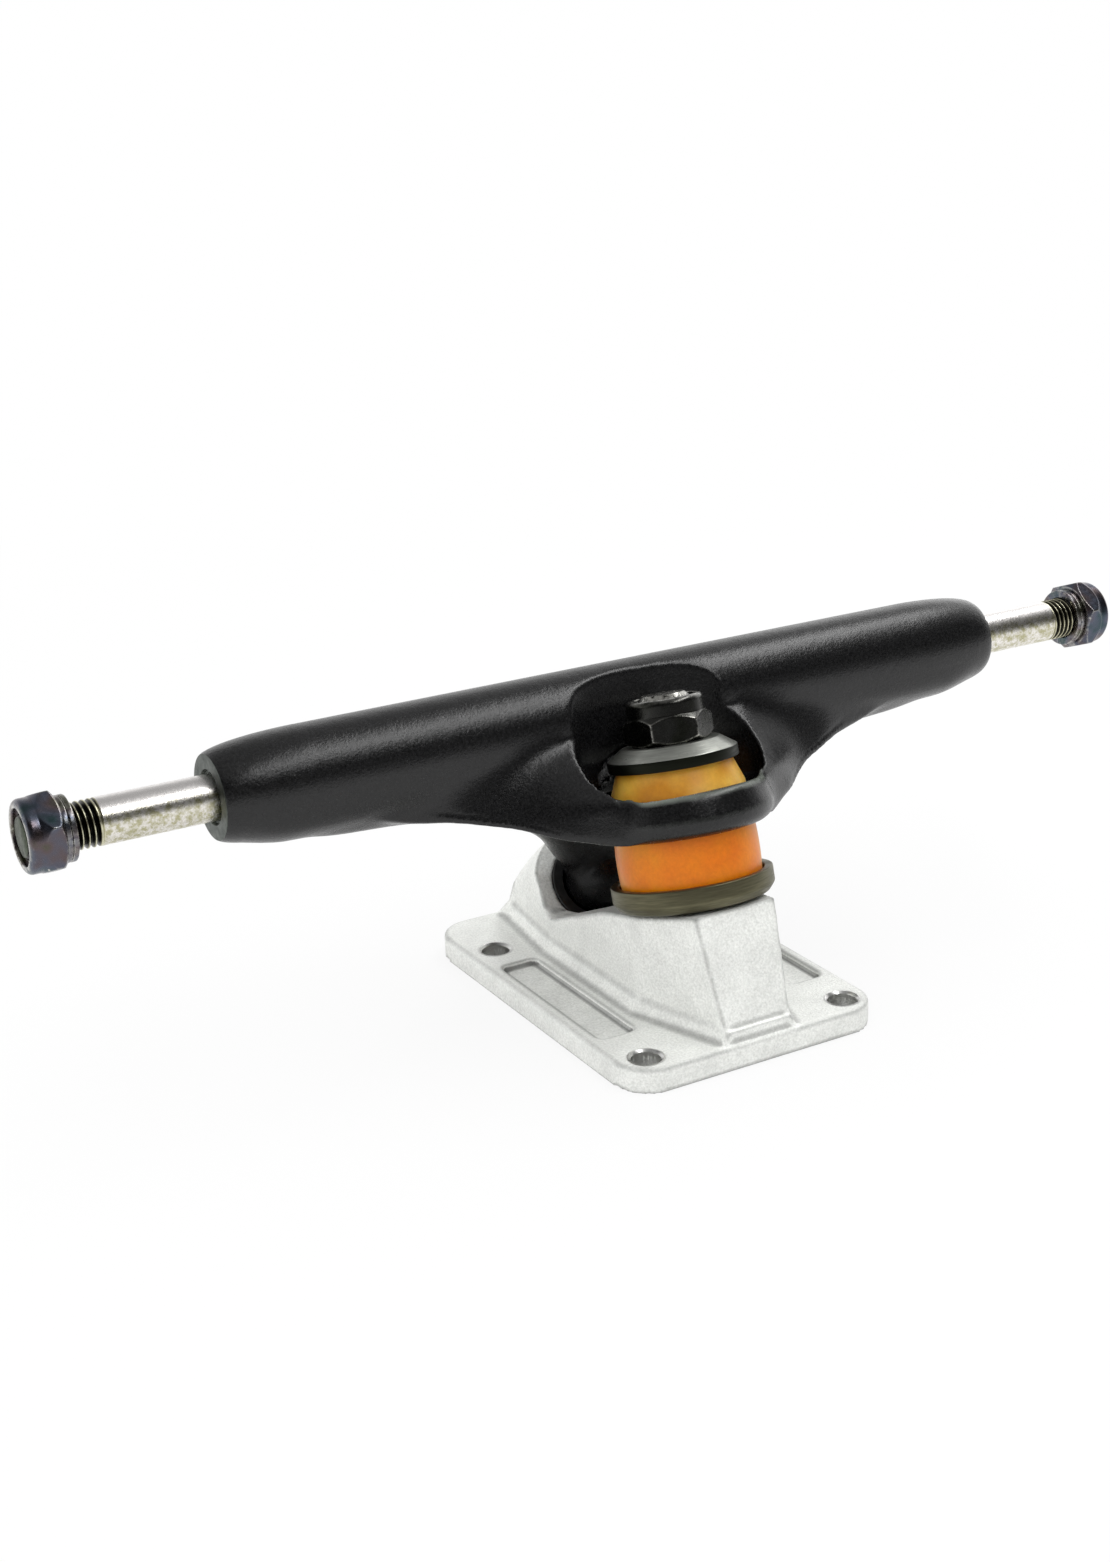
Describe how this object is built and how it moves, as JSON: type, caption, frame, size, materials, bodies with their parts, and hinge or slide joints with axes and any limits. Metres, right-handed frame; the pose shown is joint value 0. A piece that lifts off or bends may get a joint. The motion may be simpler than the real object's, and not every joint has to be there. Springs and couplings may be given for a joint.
{
  "type": "skateboard truck",
  "caption": "Skateboard truck: a hanger with a through axle steers on two urethane bushings and a ball pivot above a bolt-on baseplate.",
  "frame": {"origin": "middle of the four deck bolt holes, on the plate's face that meets the deck", "axes": "+Z away from the deck, +X along the wheel axle, +Y from the kingpin towards the pivot"},
  "size_m": [0.2228, 0.0755, 0.0616],
  "materials": {
    "bare_cast_aluminium": "bare, fine-grained casting",
    "black_coated_aluminium": "satin black coating on cast aluminium",
    "ground_steel": "ground and plated, with cut threads",
    "blackened_steel": "black-blued, with worn edges",
    "dark_plated_steel": "pressed and dark plated",
    "orange_urethane": "cast, smooth and slightly translucent",
    "amber_urethane": "cast, smooth and slightly translucent",
    "black_urethane": "moulded",
    "black_nylon": "moulded ring"
  },
  "bodies": {
    "base": {"baseplate": "bare_cast_aluminium", "pivot_cup": "black_urethane", "kingpin": "blackened_steel", "lower_cup_washer": "dark_plated_steel", "lower_bushing": "orange_urethane", "upper_bushing": "amber_urethane", "upper_cup_washer": "dark_plated_steel"},
    "hanger": {"hanger": "black_coated_aluminium", "axle": "ground_steel"},
    "kingpin_nut_carrier": {"kingpin_nut_insert": "black_nylon"},
    "kingpin_nut": {"kingpin_nut": "blackened_steel"},
    "left_nut_carrier": {"speed_washer_outer_left": "blackened_steel", "speed_washer_inner_left": "blackened_steel"},
    "left_nut": {"axle_nut_left": "blackened_steel", "axle_nut_insert_left": "black_nylon"},
    "right_nut_carrier": {"speed_washer_outer_right": "blackened_steel", "speed_washer_inner_right": "blackened_steel"},
    "right_nut": {"axle_nut_right": "blackened_steel", "axle_nut_insert_right": "black_nylon"}
  },
  "joints": [
    {"name": "hanger_steer", "type": "hinge", "parent": "base", "child": "hanger", "pos_m": [0, 0.0249, 0.0143], "axis": [0, -0.788, 0.6157], "range_deg": [-18, 18], "stiffness_Nm_per_rad": 30, "deforming": ["lower_bushing", "upper_bushing"]},
    {"name": "kingpin_nut_slide", "type": "slide", "parent": "base", "child": "kingpin_nut_carrier", "axis": [0, 0.2588, 0.9659], "range_m": [0, 0.025]},
    {"name": "kingpin_nut_turn", "type": "hinge", "parent": "kingpin_nut_carrier", "child": "kingpin_nut", "pos_m": [0, -0.0173, 0], "axis": [0, 0.2588, 0.9659], "range_deg": [0, 8550]},
    {"name": "left_nut_slide", "type": "slide", "parent": "hanger", "child": "left_nut_carrier", "axis": [-1, 0, 0], "range_m": [0, 0.03]},
    {"name": "left_nut_turn", "type": "hinge", "parent": "left_nut_carrier", "child": "left_nut", "pos_m": [-0.108, 0.0116, 0.0524], "axis": [-1, 0, 0], "range_deg": [0, 10260]},
    {"name": "right_nut_slide", "type": "slide", "parent": "hanger", "child": "right_nut_carrier", "axis": [1, 0, 0], "range_m": [0, 0.03]},
    {"name": "right_nut_turn", "type": "hinge", "parent": "right_nut_carrier", "child": "right_nut", "pos_m": [0.108, 0.0116, 0.0524], "axis": [1, 0, 0], "range_deg": [0, 10260]}
  ],
  "couplings": [
    {"joint": "kingpin_nut_turn", "follows": "kingpin_nut_slide", "rad_per_m": 5938.7},
    {"joint": "left_nut_turn", "follows": "left_nut_slide", "rad_per_m": 5938.7},
    {"joint": "right_nut_turn", "follows": "right_nut_slide", "rad_per_m": 5938.7}
  ]
}
